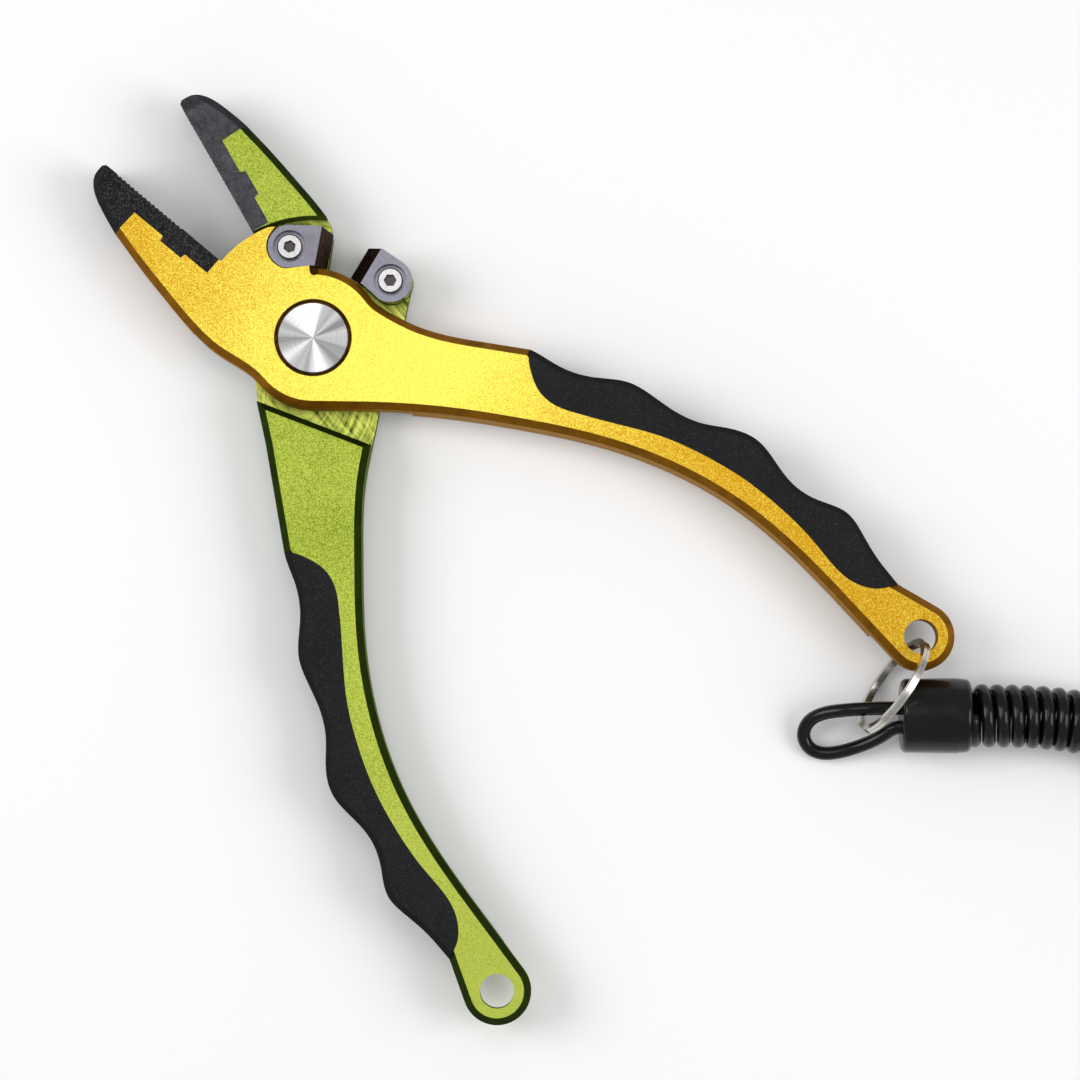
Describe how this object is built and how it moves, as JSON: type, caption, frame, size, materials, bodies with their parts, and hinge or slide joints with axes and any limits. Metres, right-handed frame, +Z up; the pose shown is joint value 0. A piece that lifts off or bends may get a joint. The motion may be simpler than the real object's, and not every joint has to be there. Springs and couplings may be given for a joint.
{
  "type": "fishing pliers",
  "caption": "Aluminium fishing pliers held open by a spring, with replaceable jaw inserts and side cutters, rubber grips, and a coiled lanyard on a split ring.",
  "frame": {"origin": "where the pivot axis meets the plane the pliers lie on", "axes": "+Z up along the pivot axis; +X along the middle line towards the jaw tips; +Y to the left, on the green half's handle side"},
  "size_m": [0.2994, 0.1318, 0.019],
  "materials": {
    "gold_anodised": "satin",
    "green_anodised": "satin",
    "insert_black": "satin",
    "grip_rubber": "matte",
    "blade_steel": "satin",
    "screw_steel": "satin",
    "turned_steel": "satin",
    "washer_plastic": "matte",
    "spring_steel": "satin",
    "ring_nickel": "polished",
    "cord_plastic": "gloss",
    "cap_rubber": "satin",
    "clip_metal": "polished"
  },
  "bodies": {
    "gold": {"gold_half": "gold_anodised", "gold_jaw_insert": "insert_black", "gold_jaw_screw": "screw_steel", "gold_grip": "grip_rubber", "gold_cutter": "blade_steel", "gold_cutter_screw": "screw_steel", "pivot_bolt": "turned_steel", "pivot_screw": "screw_steel", "back_washer": "screw_steel", "lap_washer": "washer_plastic", "pivot_spring": "spring_steel", "near_cord_loop": "cord_plastic", "near_cord_cap": "cap_rubber", "lanyard_coil": "cord_plastic", "far_cord_cap": "cap_rubber", "far_cord_loop": "cord_plastic", "swivel_eye": "clip_metal"},
    "green": {"green_half": "green_anodised", "green_jaw_insert": "insert_black", "green_jaw_screw": "screw_steel", "green_grip": "grip_rubber", "green_cutter": "blade_steel", "green_cutter_screw": "screw_steel"},
    "ring": {"split_ring": "ring_nickel"},
    "clip": {"clip_body": "clip_metal", "clip_pin": "clip_metal"},
    "gate": {"clip_gate": "clip_metal"}
  },
  "joints": [
    {"name": "pivot", "type": "hinge", "parent": "gold", "child": "green", "pos_m": [0, 0, 0.0055], "axis": [0, 0, 1], "range_deg": [0, 20], "stiffness_Nm_per_rad": 0.12, "springref_deg": -34.38},
    {"name": "ring_turn", "type": "hinge", "parent": "gold", "child": "ring", "pos_m": [-0.11205, -0.03913, 0.00965], "axis": [0.9358, 0.2713, 0.225], "continuous": true},
    {"name": "clip_swivel", "type": "hinge", "parent": "gold", "child": "clip", "pos_m": [-0.22609, -0.05287, 0.0051], "axis": [-0.9272, 0.3746, 0], "continuous": true},
    {"name": "gate_hinge", "type": "hinge", "parent": "clip", "child": "gate", "pos_m": [-0.23099, -0.0455, 0.0051], "axis": [0, 0, 1], "range_deg": [0, 25], "stiffness_Nm_per_rad": 0.004, "springref_deg": -17.19}
  ]
}
